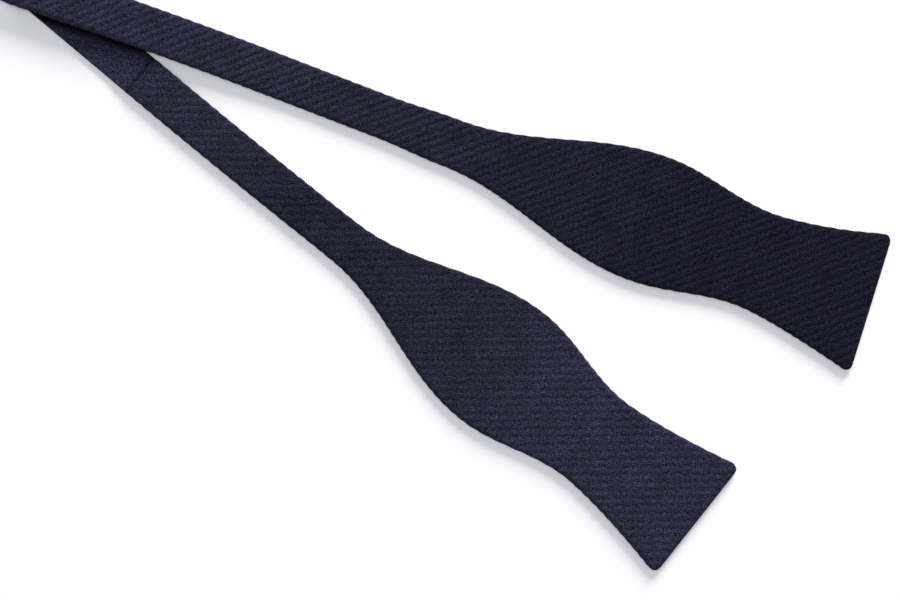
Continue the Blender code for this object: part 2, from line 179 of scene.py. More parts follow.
class Arm:
    """One end of the tie: its outline, its lie and its ribs, measured from the blade's end."""

    def __init__(
        self,
        heading,
        lie,
        loop,
        skew,
        end,
        waist,
        bulge,
        neck,
        band,
        rib_angle,
        pitch,
        tones,
        rib_depth,
    ):
        self.lie = Route(CROSSING, heading + math.pi, lie)
        self.loop = Route(CROSSING, heading, loop)
        self.length = self.lie.length
        self.skew = skew
        self.end_width = end
        self.waist_at, self.waist_width = waist
        self.bulge_at, self.bulge_width = bulge
        self.neck_at, self.neck_width, self.band_at = neck
        self.band_width = band
        self.rib_angle = math.radians(rib_angle)
        self.pitch = pitch
        self.tones = tones
        self.rib_depth = rib_depth

    def width(self, s):
        if s < self.waist_at:
            flare = (1 - s / self.waist_at) ** 1.5
            width = self.waist_width + (self.end_width - self.waist_width) * flare
        elif s < self.bulge_at:
            share = (s - self.waist_at) / (self.bulge_at - self.waist_at)
            width = ease(self.waist_width, self.bulge_width, share)
        elif s < self.neck_at:
            share = (s - self.bulge_at) / (self.neck_at - self.bulge_at)
            width = ease(self.bulge_width, self.neck_width, share)
        else:
            share = (s - self.neck_at) / (self.band_at - self.neck_at)
            width = ease(self.neck_width, self.band_width, share)
        return width

    def half_width(self, s):
        """Half the width, with the blade's two corners rounded."""
        rounding = max(0.0, 1 - s / CORNER_RADIUS)
        corner = CORNER_RADIUS * (1 - math.sqrt(max(0.0, 1 - rounding**2)))
        return self.width(s) / 2 - corner

    def plan(self, s):
        """Plan point and outward heading at s from the blade's end."""
        past = s - self.length
        if past >= 0:
            return self.loop.at(past)
        point, heading = self.lie.at(-past)
        return point, heading - math.pi

    def side_turn(self, s):
        """The blade's end edge is a little off square; the skew fades out along the blade."""
        return ease(self.skew, 0.0, s / SKEW_REACH)

    def tone(self, s):
        """How light the cloth looks at s, eased between the arm's tones."""
        ends = [self.tones[0], *self.tones, self.tones[-1]]
        place = min(max(s / TONE_STEP, 0.0), len(self.tones) - 1e-6)
        return ease(ends[int(place)], ends[int(place) + 1], place % 1)

    def ribs(self, s, a):
        """Places along and across the ribs, in rib pitches, at s along and a across the strip."""
        along = s * math.cos(self.rib_angle) - a * math.sin(self.rib_angle)
        over = s * math.sin(self.rib_angle) + a * math.cos(self.rib_angle)
        return along / self.pitch, over / self.pitch


class Station:
    """One cross-section: its centre, and unit vectors across the width and out of the face."""

    def __init__(self, centre, heading, tilt, half_width, side_turn=0.0):
        right = Vector((math.sin(heading + side_turn), -math.cos(heading + side_turn), 0))
        self.centre = centre
        self.across = right * math.cos(tilt) + UP * math.sin(tilt)
        self.out = UP * math.cos(tilt) - right * math.sin(tilt)
        self.half_width = half_width

    def place(self, across, out):
        return self.centre + self.across * across + self.out * out


LONG_ARM = Arm(
    LONG_HEADING,
    lie=[(25 * MM, 0), (80 * MM, math.radians(-2.4)), (271.8 * MM, 0)],
    loop=[
        (STRAIGHT_RUN, 0),
        (BEND_LENGTH, -math.pi - CROSSING_ANGLE),
        (RUN_TO_EYE, 0),
        (math.pi * EYE_BEND, -math.pi),
        (FOLD_BACK, 0),
    ],
    skew=math.radians(3.8),
    end=62.0 * MM,
    waist=(52.7 * MM, 41.9 * MM),
    bulge=(101.2 * MM, 54.7 * MM),
    neck=(191.3 * MM, 20.8 * MM, 222 * MM),
    band=18.5 * MM,
    rib_angle=41,
    pitch=3.15 * MM,
    tones=[0.48, 0.62, 0.78, 0.96, 1.04],
    rib_depth=0.42 * MM,
)
SHORT_ARM = Arm(
    SHORT_HEADING,
    lie=[(50 * MM, 0), (120 * MM, math.radians(1.7)), (188 * MM, 0)],
    loop=[
        (HOOK_AT, 0),
        (STRAP_TURN, math.pi),
        (SHIFT_ARC, -SHIFT_TURN),
        (SHIFT_ARC, SHIFT_TURN),
        (STRAP_TURN, math.pi),
        (TAIL, 0),
    ],
    skew=0.0,
    end=58.6 * MM,
    waist=(55.3 * MM, 40.9 * MM),
    bulge=(105.4 * MM, 57.3 * MM),
    neck=(192.1 * MM, 19.1 * MM, 200 * MM),
    band=18.9 * MM,
    rib_angle=39,
    pitch=3.3 * MM,
    tones=[1.06, 0.78, 0.68, 0.96, 1.46],
    rib_depth=0.19 * MM,
)


def long_station(s):
    """The long end: flat, climbing over the short end, then turning on edge into the neckband."""
    point, heading = LONG_ARM.plan(s)
    past = s - LONG_ARM.length
    tilt = ease(0, ON_EDGE, (past - LONG_TWIST[0]) / (LONG_TWIST[1] - LONG_TWIST[0]))
    half = LONG_ARM.half_width(s)
    lift = ease(0, LIFT_OVER, (past - LIFT_FROM) / (LONG_TWIST[0] - LIFT_FROM))
    lift -= ease(0, LIFT_OVER, (past - LONG_TWIST[0]) / (LONG_TWIST[1] - LONG_TWIST[0]))
    rest = half * math.sin(tilt) + TIE_THICKNESS / 2 * math.cos(tilt)
    level = ease(0, HARDWARE_LEVEL - half, (past - STRAIGHT_RUN) / BEND_LENGTH)
    height = UP * (rest + lift + level)
    return Station(point + height, heading, tilt, half, LONG_ARM.side_turn(s))


def short_station(s):
    """The short end, flat all the way to the seam where the strap joins it."""
    point, heading = SHORT_ARM.plan(s)
    height = UP * TIE_THICKNESS / 2
    return Station(point + height, heading, 0, SHORT_ARM.half_width(s), SHORT_ARM.side_turn(s))


def strap_station(s):
    """The strap: sewn into the short end's mouth, flat under the long end, then on edge."""
    point, heading = SHORT_ARM.plan(s)
    past = s - SHORT_ARM.length
    share = (past - SHORT_TWIST[0]) / (SHORT_TWIST[1] - SHORT_TWIST[0])
    tilt = ease(0, ON_EDGE, share)
    half = SHORT_ARM.band_width / 2
    mouth = ease((TIE_THICKNESS - STRAP_THICKNESS) / 2, 0, (s - STRAP_SEAM) / (3 * MOUTH_DEPTH))
    tucked = ease(3 * CLOTH, 0, (s - STRAP_SEAM + MOUTH_DEPTH) / MOUTH_DEPTH)
    rest = half * math.sin(tilt) + STRAP_THICKNESS / 2 * math.cos(tilt)
    level = ease(0, HARDWARE_LEVEL - half, share)
    return Station(point + UP * (rest + level + mouth), heading, tilt, half - tucked)


def spread(start, stop, step):
    """Distances from start to stop, evenly spaced at about step."""
    count = max(1, math.ceil((stop - start) / step - 1e-6))
    return [start + (stop - start) * i / count for i in range(count + 1)]


def joined(*runs):
    """Runs of distances one after the other, each shared end once."""
    out = list(runs[0])
    for run in runs[1:]:
        out += run[1:]
    return out


class Lay:
    """The cross-sections along a strip, as arrays with one row for each."""

    def __init__(self, station, distances):
        rows = [station(s) for s in distances]
        self.s = np.array(distances)
        self.centre = np.array([r.centre for r in rows])
        self.across = np.array([r.across for r in rows])
        self.out = np.array([r.out for r in rows])
        self.half = np.array([r.half_width for r in rows])

    def place(self, a, o):
        """Points at a across and o out, both with a row for each cross-section."""
        sideways = self.across[:, None, :] * a[..., None]
        return self.centre[:, None, :] + sideways + self.out[:, None, :] * o[..., None]


def wavering(*places, scale, seed):
    """Smooth noise from -1 to 1 at each of the places, given in metres or pitches."""
    first, second = (np.asarray(p) * scale for p in places)
    pairs = zip(first.ravel(), second.ravel())
    return np.array([noise.noise((x, y, seed)) for x, y in pairs]).reshape(first.shape)


def groove(over):
    """How deep in the furrow between two ribs a place is, from 0 on the rib to 1."""
    return (0.5 + 0.5 * np.cos(2 * math.pi * over)) ** 1.6


def rounded(x):
    """The height of a quarter circle's profile, as x goes from 0 at its edge to 1."""
    return np.sqrt(1 - (1 - np.clip(x, 0, 1)) ** 2)


def skin(name, rings, ribs, finish, tone=1.0):
    """A closed mesh through rings of points, with the rib coordinates as its UV map.

    tone darkens or lightens the cloth, painted shade at seams and in the crease included, as one
    number or one for each point.
    """
    count, size = rings.shape[:2]
    mesh = bpy.data.meshes.new(name)
    i = np.arange(count - 1)[:, None] * size
    j = np.arange(size)[None, :]
    k = (j + 1) % size
    quads = np.stack([i + j, i + k, i + size + k, i + size + j], -1).reshape(-1, 4).tolist()
    last = (count - 1) * size
    caps = [list(range(size))[::-1], list(range(last, last + size))]
    mesh.from_pydata(rings.reshape(-1, 3).tolist(), [], quads + caps)
    tones = np.broadcast_to(tone, (count, size)).astype(np.float32).ravel()
    mesh.attributes.new("tone", "FLOAT", "POINT").data.foreach_set("value", tones)
    loops = np.zeros(len(mesh.loops), np.int32)
    mesh.loops.foreach_get("vertex_index", loops)
    layer = mesh.uv_layers.new(name="ribs")
    layer.data.foreach_set("uv", (ribs.reshape(-1, 2)[loops] / UV_RIBS).astype(np.float32).ravel())
    bm = bmesh.new()
    bm.from_mesh(mesh)
    bmesh.ops.recalc_face_normals(bm, faces=bm.faces)
    bm.to_mesh(mesh)
    bm.free()
    mesh.shade_smooth()
    mesh.set_sharp_from_angle(angle=math.radians(60))
    mesh.materials.append(finish)
    obj = bpy.data.objects.new(name, mesh)
    bpy.context.scene.collection.objects.link(obj)
    return obj


def across_places(half, edge_gap, count):
    """Places from one edge to the other: closer together where the edge rolls over."""
    roll = EDGE_ROLL * (1 - np.cos(np.linspace(0, math.pi / 2, ROLL_STEPS)))
    sides = half[:, None] - edge_gap - roll
    middle = (half - edge_gap - EDGE_ROLL)[:, None] * np.linspace(1, -1, count + 2)[1:-1]
    return np.concatenate([sides, middle, -sides[:, ::-1]], axis=1)


def scalloped(lay, arm, a):
    """Widens the places a so that the edge bulges a little at each rib."""
    right = 1 - groove(arm.ribs(lay.s, lay.half)[1])
    left = 1 - groove(arm.ribs(lay.s, -lay.half)[1])
    grain = wavering(lay.s, lay.half, scale=1 / (1.1 * MM), seed=7.0)
    bulge = np.where(a > 0, right[:, None], left[:, None]) - 0.5 + 0.3 * grain[:, None]
    return a + np.sign(a) * SCALLOP * bulge * np.abs(a) / lay.half[:, None]


def crease(places):
    """Painted shade: how much light reaches the short end's side in the deep crease along the long
    end's edge.
    """
    south = np.array((-math.sin(LONG_HEADING), math.cos(LONG_HEADING), 0))
    beyond = (places - np.array(CROSSING)) @ south
    half = LONG_ARM.band_width / 2
    lit = np.maximum((beyond - half - PAINTED_CREASE_FADE[0]) / PAINTED_CREASE_FADE[1], (-half - beyond) / PAINTED_CREASE_FADE[0])
    return PAINTED_CREASE_LIGHT + (1 - PAINTED_CREASE_LIGHT) * np.clip(lit, 0, 1)


def cloth(name, lay, arm, face, ends, across=SHELL_ACROSS):
    """The front (face 1) or back (face -1) cloth, rolled down to the edge seam, with its ribs.

    ends says what the first and last edges are: "edge" is closed by a seam, "mouth" stays open.
    """
    a = scalloped(lay, arm, across_places(lay.half, 0, across))
    s = np.broadcast_to(lay.s[:, None], a.shape)
    along, over = arm.ribs(s, face * a)
    over = over + RIB_WANDER * wavering(along, over, scale=0.22, seed=1.0 + face)
    crown = TIE_THICKNESS / 2 * rounded((lay.half[:, None] - np.abs(a)) / EDGE_ROLL)
    hollow_top = np.full(len(lay.s), TIE_THICKNESS / 2)
    tone = np.array([arm.tone(s) for s in lay.s])
    for edge, inside in zip(ends, (lay.s - lay.s[0], lay.s[-1] - lay.s)):
        if edge == "edge":
            fall = rounded(inside / EDGE_ROLL)
            hollow_top = hollow_top * fall
        else:
            fall = 0.55 + 0.45 * rounded(inside / CLOTH)
            # Painted shade where the cloth's open end runs into its seam.
            tone = tone * (1 - 0.75 * np.exp(-inside / PAINTED_SEAM_SHADE))
        crown = crown * fall[:, None]
    unevenness = 0.75 + 0.35 * wavering(along, over, scale=1.7, seed=3.0)
    relief = arm.rib_depth * groove(over) * unevenness
    relief += SURFACE_FALL * (0.5 + 0.5 * wavering(s, a, scale=1 / (17 * MM), seed=5.0 + face))
    seam = LAYER_GAP / 2
    outer = np.maximum(seam + SHELL_MIN, crown - relief * crown / (TIE_THICKNESS / 2))
    outer[:, [0, -1]] = seam + SHELL_MIN / 2
    inner_a = np.stack([lay.half - 0.4 * MM, lay.half - EDGE_ROLL, lay.half / 3], axis=1)
    inner_a = np.concatenate([inner_a, -inner_a[:, ::-1]], axis=1)[:, ::-1]
    hollow = np.maximum(seam, hollow_top - CLOTH)
    inner = np.repeat(hollow[:, None], inner_a.shape[1], axis=1)
    inner[:, [0, -1]] = seam
    rings = lay.place(np.concatenate([a, inner_a], 1), face * np.concatenate([outer, inner], 1))
    inner_ribs = arm.ribs(np.broadcast_to(lay.s[:, None], inner_a.shape), face * inner_a)
    ribs = np.concatenate([np.stack([along, over], -1), np.stack(inner_ribs, -1)], axis=1)
    # Painted shade in the crease along the long end's edge, on the short end's cloths only.
    light = 1.0 if arm is LONG_ARM else crease(rings)
    return skin(name, rings, ribs, WOOL, tone[:, None] * light)


def lining(name, lay, arm):
    """The canvas between the two cloths: a flat strip with softly rounded edges."""
    half = lay.half - LINING_INSET
    places = np.linspace(1, -1, LINING_ACROSS)
    top = half[:, None] * places
    a = np.concatenate([top, top[:, -2:0:-1]], axis=1)
    o = INTERLINING / 2 * np.concatenate([np.ones(LINING_ACROSS), -np.ones(LINING_ACROSS - 2)])
    o[[0, LINING_ACROSS - 1]] = 0
    s = np.broadcast_to(lay.s[:, None], a.shape)
    waver = 0.05 * MM * wavering(s, a, scale=1 / (6 * MM), seed=11.0)
    rings = lay.place(a, o[None, :] - np.sign(o) * np.abs(waver))
    return skin(name, rings, np.stack(arm.ribs(s, a), -1), CANVAS)


def tube(name, lay, arm, across=BAND_ACROSS):
    """The strap: a tube of cloth pressed flat, its two faces faintly ribbed."""
    roll = STRAP_THICKNESS / 2
    steps = roll * (1 - np.cos(np.linspace(0, math.pi / 2, ROLL_STEPS)))
    sides = lay.half[:, None] - steps
    middle = (lay.half - roll)[:, None] * np.linspace(1, -1, across + 2)[1:-1]
    top = np.concatenate([sides, middle, -sides[:, ::-1]], axis=1)
    a = np.concatenate([top, top[:, -2:0:-1]], axis=1)
    face = np.concatenate([np.ones(top.shape[1]), -np.ones(top.shape[1] - 2)])
    s = np.broadcast_to(lay.s[:, None], a.shape)
    along, over = arm.ribs(s, face * a)
    over = over + RIB_WANDER * wavering(along, over, scale=0.22, seed=2.0)
    body = STRAP_THICKNESS / 2 * rounded((lay.half[:, None] - np.abs(a)) / roll)
    in_mouth = np.clip((STRAP_SEAM + MOUTH_DEPTH - lay.s) / MOUTH_DEPTH, 0, 1)
    body = body * (1 - 0.25 * in_mouth[:, None])
    unevenness = 0.7 + 0.3 * wavering(along, over, scale=1.7, seed=4.0)
    relief = STRAP_RIB_DEPTH * groove(over) * unevenness
    relief += 0.05 * MM * (1 + wavering(s, a, scale=1 / (12 * MM), seed=6.0))
    o = face * np.maximum(0, body - relief * body / (STRAP_THICKNESS / 2))
    rings = lay.place(a, o)
    # Painted shade along the strap's seam, and painted shade in the crease along the long end's edge.
    tone = STRAP_TONE * (1 - 0.9 * np.exp(-np.abs(lay.s - STRAP_SEAM) / PAINTED_SEAM_SHADE))
    return skin(name, rings, np.stack([along, over], -1), STRAP_WOOL, tone[:, None] * crease(rings))


def lying(arm, distances, inset=0.0):
    """Works out a strip's widths along its length, each less twice the inset; nothing is done with
    them.
    """
    widths = np.array([2 * (arm.half_width(s) - inset) for s in distances])


# Materials. Pattern coordinates come from the UV map, where one unit is UV_RIBS rib pitches.


class Shader:
    """A material with a Principled shader, and short calls for the nodes that feed it."""

    def __init__(self, name):
        self.material = bpy.data.materials.new(name)
        self.material.use_nodes = True
        self.tree = self.material.node_tree
        self.surface = self.tree.nodes["Principled BSDF"]

    def node(self, kind, settings=(), **inputs):
        made = self.tree.nodes.new(f"ShaderNode{kind}")
        for key, value in dict(settings).items():
            setattr(made, key, value)
        for key, value in inputs.items():
            self.feed(made.inputs[key.replace("_", " ")], value)
        return made

    def feed(self, socket, value):
        if isinstance(value, bpy.types.NodeSocket):
            self.tree.links.new(value, socket)
        else:
            socket.default_value = value

    def math(self, operation, *values):
        made = self.node("Math", {"operation": operation})
        for socket, value in zip(made.inputs, values):
            self.feed(socket, value)
        return made.outputs[0]

    def remap(self, value, low, high, to_low, to_high):
        made = self.node("MapRange", {"clamp": True}, Value=value)
        spans = {"From Min": low, "From Max": high, "To Min": to_low, "To Max": to_high}
        for key, number in spans.items():
            made.inputs[key].default_value = number
        return made.outputs[0]

    def scaled(self, vector, x, y, z=1.0):
        made = self.node("VectorMath", {"operation": "MULTIPLY"})
        self.feed(made.inputs[0], vector)
        made.inputs[1].default_value = (x, y, z)
        return made.outputs[0]

    def noise(self, vector, scale, detail=2.0, roughness=0.5, distortion=0.0):
        made = self.node("TexNoise", Vector=vector, Scale=scale, Detail=detail)
        made.inputs["Roughness"].default_value = roughness
        made.inputs["Distortion"].default_value = distortion
        return made.outputs["Fac"]

    def specks(self, place, stretch, span, levels, scale=1.0, detail=1.0, roughness=0.5):
        """Noise stretched along and across the place, cut to a span and spread over levels."""
        field = self.noise(self.scaled(place, *stretch), scale, detail, roughness)
        return self.remap(field, *span, *levels)

    def mix(self, share, first, second, blend="MIX"):
        made = self.node("Mix", {"data_type": "RGBA", "blend_type": blend})
        self.feed(made.inputs[0], share)
        self.feed(made.inputs[6], first)
        self.feed(made.inputs[7], second)
        return made.outputs[2]

    def bump(self, height, strength, distance):
        made = self.node("Bump", Height=height, Strength=strength, Distance=distance)
        self.feed(self.surface.inputs["Normal"], made.outputs[0])

    def set(self, **values):
        for key, value in values.items():
            self.surface.inputs[key.replace("_", " ")].default_value = value


def wool(name, rib, base, dark, light):
    """Ribbed wool: dark broken dashes of painted shade in the furrows, lighter yarn on the ribs,
    fine flecks.
    """
    shader = Shader(name)
    uv = shader.node("UVMap", {"uv_map": "ribs"}).outputs[0]
    ribs = shader.scaled(uv, UV_RIBS, UV_RIBS)
    split = shader.node("SeparateXYZ", Vector=ribs)
    turn = shader.math("MULTIPLY", split.outputs[1], 2 * math.pi)
    wave = shader.math("MULTIPLY_ADD", shader.math("COSINE", turn), 0.5, 0.5)
    furrow = shader.math("POWER", wave, 1.05)
    # Painted shade: the furrows darken towards dark in broken dashes, as strongly as rib says.
    dashes = shader.specks(ribs, (3.2, 1.5), (0.41, 0.53), (0.08, 1.0))
    shade = shader.math("MULTIPLY", shader.math("MULTIPLY", furrow, dashes), rib)
    holes = shader.specks(ribs, (4.6, 4.0), (0.36, 0.50), (0.9, 0.0))
    yarn = {"span": (0.5, 0.66), "levels": (0.0, 1.0), "detail": 2.0, "roughness": 0.6}
    lengthwise = shader.specks(ribs, (1.3, 6.0), **yarn)
    crosswise = shader.specks(ribs, (5.5, 1.8), **yarn)
    weave = shader.noise(ribs, 6.5, 3.0, 0.7)
    patches = shader.noise(ribs, 0.28, 3.0, 0.55)
    fleck = shader.specks(ribs, (1.0, 0.8), (0.68, 0.75), (0.0, 0.6), scale=6.0)
    colour = shader.mix(holes, base, dark)
    colour = shader.mix(shade, colour, dark)
    colour = shader.mix(shader.remap(weave, 0.46, 0.64, 0.0, 0.8), colour, light)
    colour = shader.mix(shader.math("MULTIPLY", lengthwise, 0.6), colour, light)
    colour = shader.mix(shader.math("MULTIPLY", crosswise, 0.5), colour, light)
    colour = shader.mix(fleck, colour, [2.4 * c for c in light[:3]] + [1])
    # The tone attribute carries the arm's tones and the painted shade at seams and in the crease.
    tone = shader.node("Attribute", {"attribute_name": "tone"}).outputs["Fac"]
    lift = shader.math("MULTIPLY", shader.remap(patches, 0.3, 0.7, 0.84, 1.16), tone)
    tint = shader.node("CombineColor", Red=lift, Green=lift, Blue=lift).outputs[0]
    colour = shader.mix(1.0, colour, tint, "MULTIPLY")
    shader.feed(shader.surface.inputs["Base Color"], colour)
    shader.feed(shader.surface.inputs["Roughness"], shader.remap(weave, 0.2, 0.8, 0.86, 1.0))
    raised = shader.math("ADD", shader.math("MULTIPLY", lengthwise, 0.3), weave)
    height = shader.math("SUBTRACT", raised, shader.math("MULTIPLY", shade, 0.7))
    shader.bump(height, 1.0, 0.6 * MM)
    shader.set(Specular_IOR_Level=0.02, Sheen_Weight=0.025, Sheen_Roughness=0.45)
    shader.set(Sheen_Tint=(0.45, 0.48, 1.0, 1))
    return shader.material


def canvas():
    """Hair canvas: a plain weave of off-white yarns with darker hairs."""
    shader = Shader("hair_canvas")
    uv = shader.node("UVMap", {"uv_map": "ribs"}).outputs[0]
    yarns = shader.scaled(uv, UV_RIBS * 5, UV_RIBS * 5)
    split = shader.node("SeparateXYZ", Vector=yarns)
    warp = shader.math("SINE", shader.math("MULTIPLY", split.outputs[0], 2 * math.pi))
    weft = shader.math("SINE", shader.math("MULTIPLY", split.outputs[1], 2 * math.pi))
    weave = shader.math("MULTIPLY_ADD", shader.math("MULTIPLY", warp, weft), 0.5, 0.5)
    slub = shader.noise(shader.scaled(yarns, 0.15, 1.0), 1.0, 3.0, 0.6)
    colour = shader.mix(weave, (0.30, 0.27, 0.21, 1), (0.56, 0.53, 0.46, 1))
    colour = shader.mix(shader.remap(slub, 0.58, 0.72, 0.0, 0.7), colour, (0.16, 0.12, 0.08, 1))
    shader.feed(shader.surface.inputs["Base Color"], colour)
    shader.feed(shader.surface.inputs["Roughness"], shader.remap(slub, 0.2, 0.8, 0.8, 1.0))
    shader.bump(weave, 0.6, 0.2 * MM)
    shader.set(Specular_IOR_Level=0.2)
    return shader.material


def sewing_thread():
    """Twisted navy thread, a little shinier than the wool."""
    shader = Shader("sewing_thread")
    place = shader.node("TexCoord").outputs["Object"]
    bands = {"wave_type": "BANDS", "bands_direction": "DIAGONAL"}
    twist = shader.node("TexWave", bands, Vector=place)
    twist.inputs["Scale"].default_value = 900.0
    twist.inputs["Distortion"].default_value = 1.5
    strand = twist.outputs["Fac"]
    colour = shader.mix(strand, (0.010, 0.010, 0.024, 1), (0.030, 0.029, 0.058, 1))
    shader.feed(shader.surface.inputs["Base Color"], colour)
    shader.feed(shader.surface.inputs["Roughness"], shader.remap(strand, 0.0, 1.0, 0.45, 0.7))
    shader.bump(strand, 0.4, 0.05 * MM)
    shader.set(Specular_IOR_Level=0.12)
    return shader.material


def nickel():
    """Nickel-plated metal with fine brush marks, duller patches and a few scratches."""
    shader = Shader("nickel_plate")
    place = shader.node("TexCoord").outputs["Object"]
    brush = shader.noise(shader.scaled(place, 900.0, 900.0, 9000.0), 1.0, 3.0, 0.6)
    patches = shader.noise(place, 260.0, 4.0, 0.6)
    scratches = shader.noise(shader.scaled(place, 300.0, 300.0, 5200.0), 1.0, 1.0)
    marks = shader.remap(scratches, 0.66, 0.72, 0.0, 1.0)
    colour = shader.mix(patches, (0.50, 0.48, 0.44, 1), (0.70, 0.69, 0.66, 1))
    colour = shader.mix(shader.math("MULTIPLY", marks, 0.12), colour, (0.36, 0.34, 0.31, 1))
    shader.feed(shader.surface.inputs["Base Color"], colour)
    shader.feed(shader.surface.inputs["Roughness"], shader.remap(brush, 0.25, 0.75, 0.28, 0.36))
    shader.bump(brush, 0.12, 0.01 * MM)
    shader.set(Metallic=1.0)
    return shader.material


WOOL_BASE = (0.0072, 0.0069, 0.0175, 1)
# The dark of the weave's holes, and of the painted shade in the furrows.
WOOL_DARK = (0.0003, 0.0003, 0.0014, 1)
WOOL_LIGHT = (0.060, 0.0585, 0.110, 1)
WOOL = wool("ribbed_wool", 1.0, WOOL_BASE, WOOL_DARK, WOOL_LIGHT)
STRAP_WOOL = wool("strap_wool", 0.9, WOOL_BASE, WOOL_DARK, WOOL_LIGHT)
CANVAS = canvas()
THREAD = sewing_thread()
NICKEL = nickel()


# The pieces.


def blade_edge():
    """Distances over a blade's rolled end, closest together at the edge."""
    return [EDGE_ROLL * (1 - math.cos(math.pi / 2 * i / ROLL_STEPS)) for i in range(ROLL_STEPS + 1)]


def fold_blend(piece, arm):
    """Bakes the piece's transform into its mesh; the plan point at the blade's widest place is found
    but not used.
    """
    point, heading = arm.plan(arm.bulge_at)
    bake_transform(piece)


def long_end():
    seam = LONG_ARM.length + NECKBAND_SEAM - LAYER_GAP / 2
    distances = joined(blade_edge(), spread(EDGE_ROLL, seam, MESH_STEP))
    lay = Lay(long_station, distances)
    for side, face in (("front", 1), ("back", -1)):
        piece = cloth(f"long_{side}_cloth", lay, LONG_ARM, face, ("edge", "mouth"))
        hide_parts(f"long_tip_{side}", f"long_end_{side}")
        lying(LONG_ARM, distances)
        fold_blend(piece, LONG_ARM)
    inside = spread(EDGE_ROLL + 3 * LAYER_GAP, seam - 0.5 * MM, 1.6 * MM)
    piece = lining("long_canvas", Lay(long_station, inside), LONG_ARM)
    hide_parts("long_tip_interlining", "long_end_interlining")
    lying(LONG_ARM, inside, LINING_INSET)
    fold_blend(piece, LONG_ARM)


def short_end():
    distances = joined(blade_edge(), spread(EDGE_ROLL, STRAP_SEAM, MESH_STEP))
    lay = Lay(short_station, distances)
    for side, face in (("front", 1), ("back", -1)):
        piece = cloth(f"short_{side}_cloth", lay, SHORT_ARM, face, ("edge", "mouth"))
        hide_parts(f"short_tip_{side}", f"short_end_{side}")
        lying(SHORT_ARM, distances)
        fold_blend(piece, SHORT_ARM)
    inside = spread(EDGE_ROLL + 3 * LAYER_GAP, STRAP_SEAM - MOUTH_DEPTH - 0.5 * MM, 1.6 * MM)
    piece = lining("short_canvas", Lay(short_station, inside), SHORT_ARM)
    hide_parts("short_tip_interlining", "short_end_interlining")
    lying(SHORT_ARM, inside, LINING_INSET)
    fold_blend(piece, SHORT_ARM)


def neckband():
    """On edge round the end of the loop, and folded back round the eye's bar."""
    start = LONG_ARM.length + NECKBAND_SEAM + LAYER_GAP / 2
    fold = LONG_ARM.length + STRAIGHT_RUN + BEND_LENGTH + RUN_TO_EYE
    fold_end = fold + math.pi * EYE_BEND
    turned = joined(
        spread(start, fold, MESH_STEP),
        spread(fold, fold_end, 0.25 * MM),
        spread(fold_end, fold_end + FOLD_BACK, 0.5 * MM),
    )
    lay = Lay(long_station, turned)
    for side, face in (("front", 1), ("back", -1)):
        name = f"neckband_{side}_cloth"
        piece = cloth(name, lay, LONG_ARM, face, ("mouth", "mouth"), across=BAND_ACROSS)
        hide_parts(f"neckband_{side}")
        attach(piece, "long_end")
        lying(LONG_ARM, turned)
    inside = spread(start + 0.5 * MM, fold, 1.6 * MM)
    piece = lining("neckband_canvas", Lay(long_station, inside), LONG_ARM)
    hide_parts("neckband_interlining")
    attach(piece, "long_end")
    lying(LONG_ARM, inside, LINING_INSET)


def strap():
    """The adjustable neck strap: its run, the turn round the hook's bar, and the sewn return."""
    hook_at = SHORT_ARM.length + HOOK_AT
    turn_end = hook_at + STRAP_TURN
    run = joined(
        spread(STRAP_SEAM - MOUTH_DEPTH, hook_at, MESH_STEP),
        spread(hook_at, turn_end, 0.22 * MM),
    )
    piece = tube("strap", Lay(strap_station, run), SHORT_ARM)
    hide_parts("strap_run", "strap_turn")
    lying(SHORT_ARM, run)
    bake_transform(piece)
    wrap = turn_end + 2 * SHIFT_ARC
    back = joined(
        spread(turn_end + 0.02 * MM, wrap, 0.5 * MM),
        spread(wrap, wrap + STRAP_TURN, 0.22 * MM),
        spread(wrap + STRAP_TURN, wrap + STRAP_TURN + TAIL, 0.5 * MM),
    )
    piece = tube("strap_return_cloth", Lay(strap_station, back), SHORT_ARM)
    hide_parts("strap_return")
    lying(SHORT_ARM, back)
    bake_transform(piece)


def stitch(bm, start, end, out, thickness):
    """One stitch: a thread that comes up out of the cloth, runs along it and goes down again."""
    along = (end - start).normalized()
    side = along.cross(out)
    rings = []
    steps, sides = 8, 8
    for i in range(steps + 1):
        share = i / steps
        centre = start.lerp(end, share) + out * STITCH_ARCH * math.sin(math.pi * share)
        radius = thickness / 2 * (0.35 + 0.65 * math.sin(math.pi * (0.08 + 0.84 * share)) ** 0.5)
        ring = []
        for k in range(sides):
            angle = 2 * math.pi * k / sides
            offset = side * math.cos(angle) + out * math.sin(angle)
            ring.append(bm.verts.new(centre + offset * radius))
        rings.append(ring)
    for ring, following in zip(rings, rings[1:]):
        for k in range(sides):
            n = (k + 1) % sides
            bm.faces.new((ring[k], ring[n], following[n], following[k]))
    bm.faces.new(rings[0][::-1])
    bm.faces.new(rings[-1])


def stitched(name, stitches, thickness, node, body):
    """A piece made of stitches, each a (start, end, out) triple."""
    bm = bmesh.new()
    for start, end, out in stitches:
        stitch(bm, start, end, out, thickness)
    bmesh.ops.recalc_face_normals(bm, faces=bm.faces)
    mesh = bpy.data.meshes.new(name)
    bm.to_mesh(mesh)
    bm.free()
    mesh.shade_smooth()
    mesh.materials.append(THREAD)
    obj = bpy.data.objects.new(name, mesh)
    bpy.context.scene.collection.objects.link(obj)
    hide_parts(node)
    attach(obj, body)


def seam_row(name, station, node, body):
    """A row of stitches across a strip, lying in its seam."""
    reach = station.half_width - EDGE_ROLL
    count = round(2 * reach / (STITCH_LENGTH + STITCH_GAP))
    pitch = 2 * reach / count
    out = station.out
    level = TIE_THICKNESS / 2 - 0.25 * MM
    rows = []
    for i in range(count):
        a = -reach + i * pitch
        rows.append((station.place(a, level), station.place(a + pitch - STITCH_GAP, level), out))
    stitched(name, rows, SEAM_THREAD, node, body)


